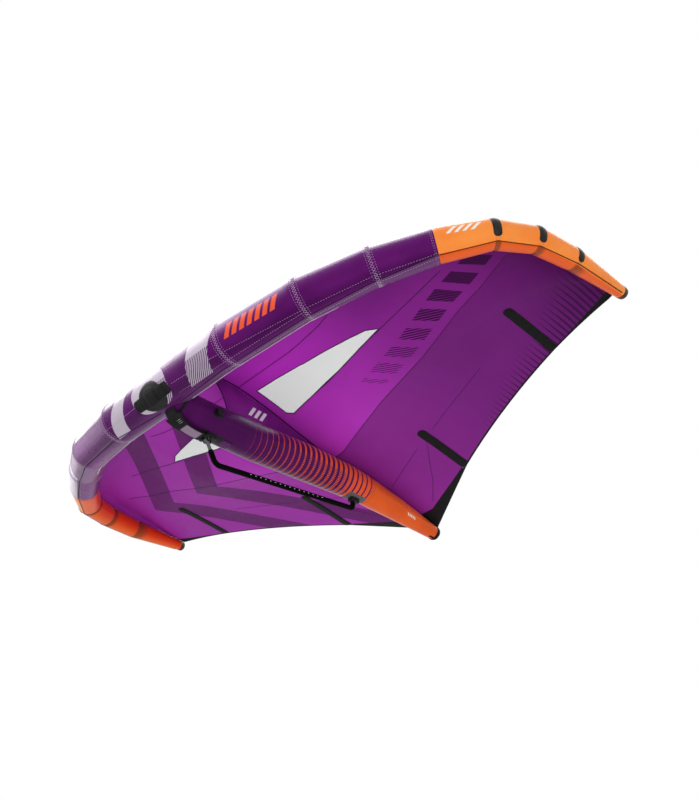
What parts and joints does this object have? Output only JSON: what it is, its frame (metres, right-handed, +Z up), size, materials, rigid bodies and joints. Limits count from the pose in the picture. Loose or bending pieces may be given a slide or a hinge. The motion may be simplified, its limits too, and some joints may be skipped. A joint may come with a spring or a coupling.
{
  "type": "wingfoil wing",
  "caption": "Hand-held inflatable wing with a curved tube along its front, a middle strut, a thin cloth canopy with see-through windows, and a carrying handle and boom under the strut.",
  "frame": {"origin": "middle of the boom's grip, where a hand holds the wing", "axes": "+X to the wing's right along its span, +Y rearward from the front tube to the tail, +Z up from the boom to the canopy"},
  "size_m": [3.3252, 1.8925, 0.628],
  "materials": {
    "anodised_tube": "dark anodised tube",
    "batten_fibre": "fibre strip",
    "black_plastic": "black moulded plastic",
    "black_webbing": "black webbing and reinforcement cloth",
    "bladder_film": "thin milky film",
    "canopy_cloth": "thin ripstop cloth, magenta violet",
    "casing_orange": "satin woven tube cloth, orange",
    "casing_purple": "satin woven tube cloth, purple",
    "grip_foam": "black soft grip",
    "steel": "plain steel",
    "window_film": "clear window film seen against the light"
  },
  "bodies": {
    "boom": {"boom_neck": "black_plastic", "boom_tube": "anodised_tube", "boom_grip": "grip_foam", "boom_rear_plug": "black_plastic"},
    "wing": {"batten_inner_left": "batten_fibre", "batten_inner_right": "batten_fibre", "batten_outer_left": "batten_fibre", "batten_outer_right": "batten_fibre", "batten_pocket_inner_left": "black_webbing", "batten_pocket_inner_right": "black_webbing", "batten_pocket_outer_left": "black_webbing", "batten_pocket_outer_right": "black_webbing", "boom_front_base": "black_plastic", "boom_front_pad": "black_webbing", "boom_pivot_pin": "steel", "boom_rear_pad": "black_webbing", "boom_rear_socket": "black_plastic", "canopy_left": "canopy_cloth", "canopy_right": "canopy_cloth", "canopy_web": "canopy_cloth", "front_handle": "black_webbing", "front_handle_sleeve": "black_webbing", "latch_spring": "steel", "le_bladder": "bladder_film", "le_casing_centre": "casing_purple", "le_scuff_patch_inner_left": "black_webbing", "le_scuff_patch_inner_right": "black_webbing", "le_scuff_patch_middle_left": "black_webbing", "le_scuff_patch_middle_right": "black_webbing", "le_scuff_patch_outer_left": "black_webbing", "le_scuff_patch_outer_right": "black_webbing", "le_tip_cap_left": "black_plastic", "le_tip_cap_right": "black_plastic", "le_tip_casing_left": "casing_orange", "le_tip_casing_right": "casing_orange", "le_valve_base": "black_webbing", "le_valve_body": "black_plastic", "strut_bladder": "bladder_film", "strut_casing_front": "casing_purple", "strut_casing_tail": "casing_orange", "strut_tail_cap": "black_plastic", "strut_valve_body": "black_plastic", "tail_corner_left": "black_webbing", "tail_corner_right": "black_webbing", "tip_corner_left": "black_webbing", "tip_corner_right": "black_webbing", "trailing_tape_left": "black_webbing", "trailing_tape_right": "black_webbing", "window_left": "window_film", "window_right": "window_film"},
    "latch_button": {"latch_button": "steel"},
    "le_valve_flap": {"le_valve_flap": "black_webbing"},
    "le_valve_plug": {"le_valve_plug": "black_plastic"},
    "strut_valve_cap": {"strut_valve_cap": "black_plastic"}
  },
  "joints": [
    {"name": "boom_front_pivot", "type": "hinge", "parent": "boom", "child": "wing", "pos_m": [0, -0.515, 0.04427], "axis": [1, 0, 0], "range_deg": [0, 45]},
    {"name": "latch_press", "type": "slide", "parent": "wing", "child": "latch_button", "axis": [0, -1, 0], "range_m": [0, 0.0025], "stiffness_N_per_m": 400, "springref_m": -0.002, "deforming": ["latch_spring"]},
    {"name": "valve_flap_hinge", "type": "hinge", "parent": "wing", "child": "le_valve_flap", "pos_m": [0.1, -0.81204, 0.14238], "axis": [0, -0.766, 0.6428], "range_deg": [0, 110]},
    {"name": "valve_plug_turn", "type": "hinge", "parent": "wing", "child": "le_valve_plug", "pos_m": [-0.022, -0.81185, 0.14261], "axis": [0, -0.6428, -0.766], "range_deg": [0, 90]},
    {"name": "strut_valve_cap_hinge", "type": "hinge", "parent": "wing", "child": "strut_valve_cap", "pos_m": [0.09705, -0.519, 0.16955], "axis": [0, -1, 0], "range_deg": [0, 110]}
  ]
}
